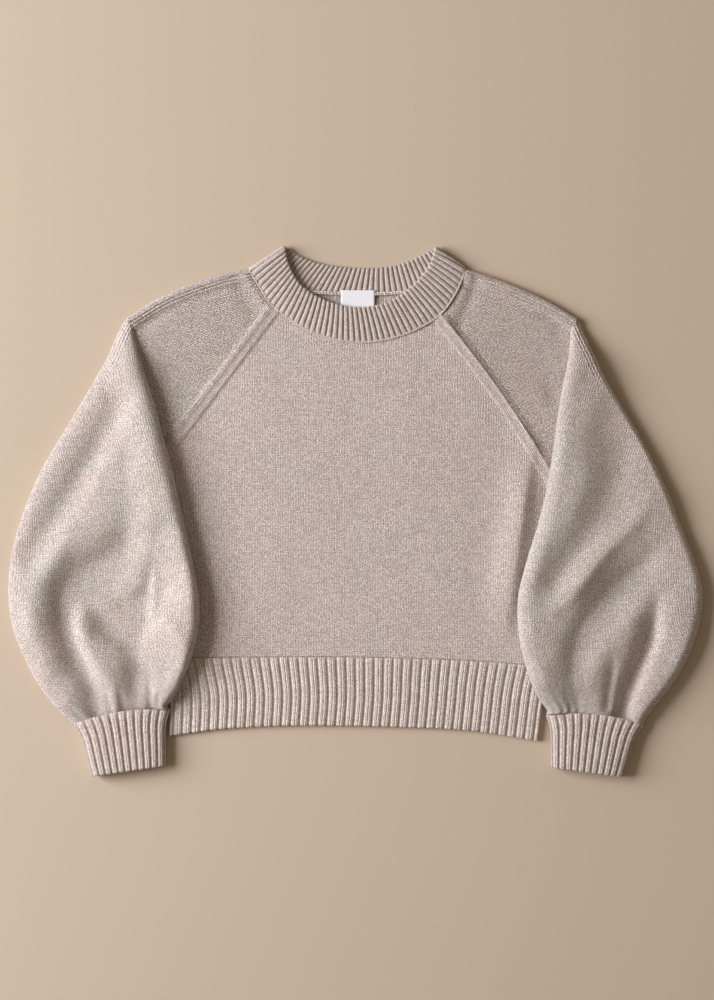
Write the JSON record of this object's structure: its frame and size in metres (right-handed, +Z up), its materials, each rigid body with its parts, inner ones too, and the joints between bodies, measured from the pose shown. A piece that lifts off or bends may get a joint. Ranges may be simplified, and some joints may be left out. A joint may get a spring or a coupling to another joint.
{
  "type": "cropped knit sweater",
  "caption": "Cropped raglan sweater with balloon sleeves, ribbed neckband, hem and cuffs, laid flat with both sleeves folded down over the body.",
  "frame": {"origin": "middle of the laid-out outline, on the surface that the sweater lies on", "axes": "+X across the body towards the right-hand sleeve as seen from above, +Y from the hem towards the neck, +Z up off the surface"},
  "size_m": [0.7627, 0.583, 0.0455],
  "materials": {
    "knit": "soft stocking stitch wool blend, matt with a light fuzz",
    "rib": "matt double rib",
    "label": "smooth white woven tape, blank"
  },
  "bodies": {
    "root": {"front_panel": "knit", "back_panel": "knit", "sleeve_left": "knit", "sleeve_right": "knit", "cuff_left": "rib", "cuff_right": "rib", "hem_front": "rib", "hem_back": "rib", "neckband": "rib", "neck_seam_roll": "rib", "neck_label": "label"}
  },
  "joints": []
}
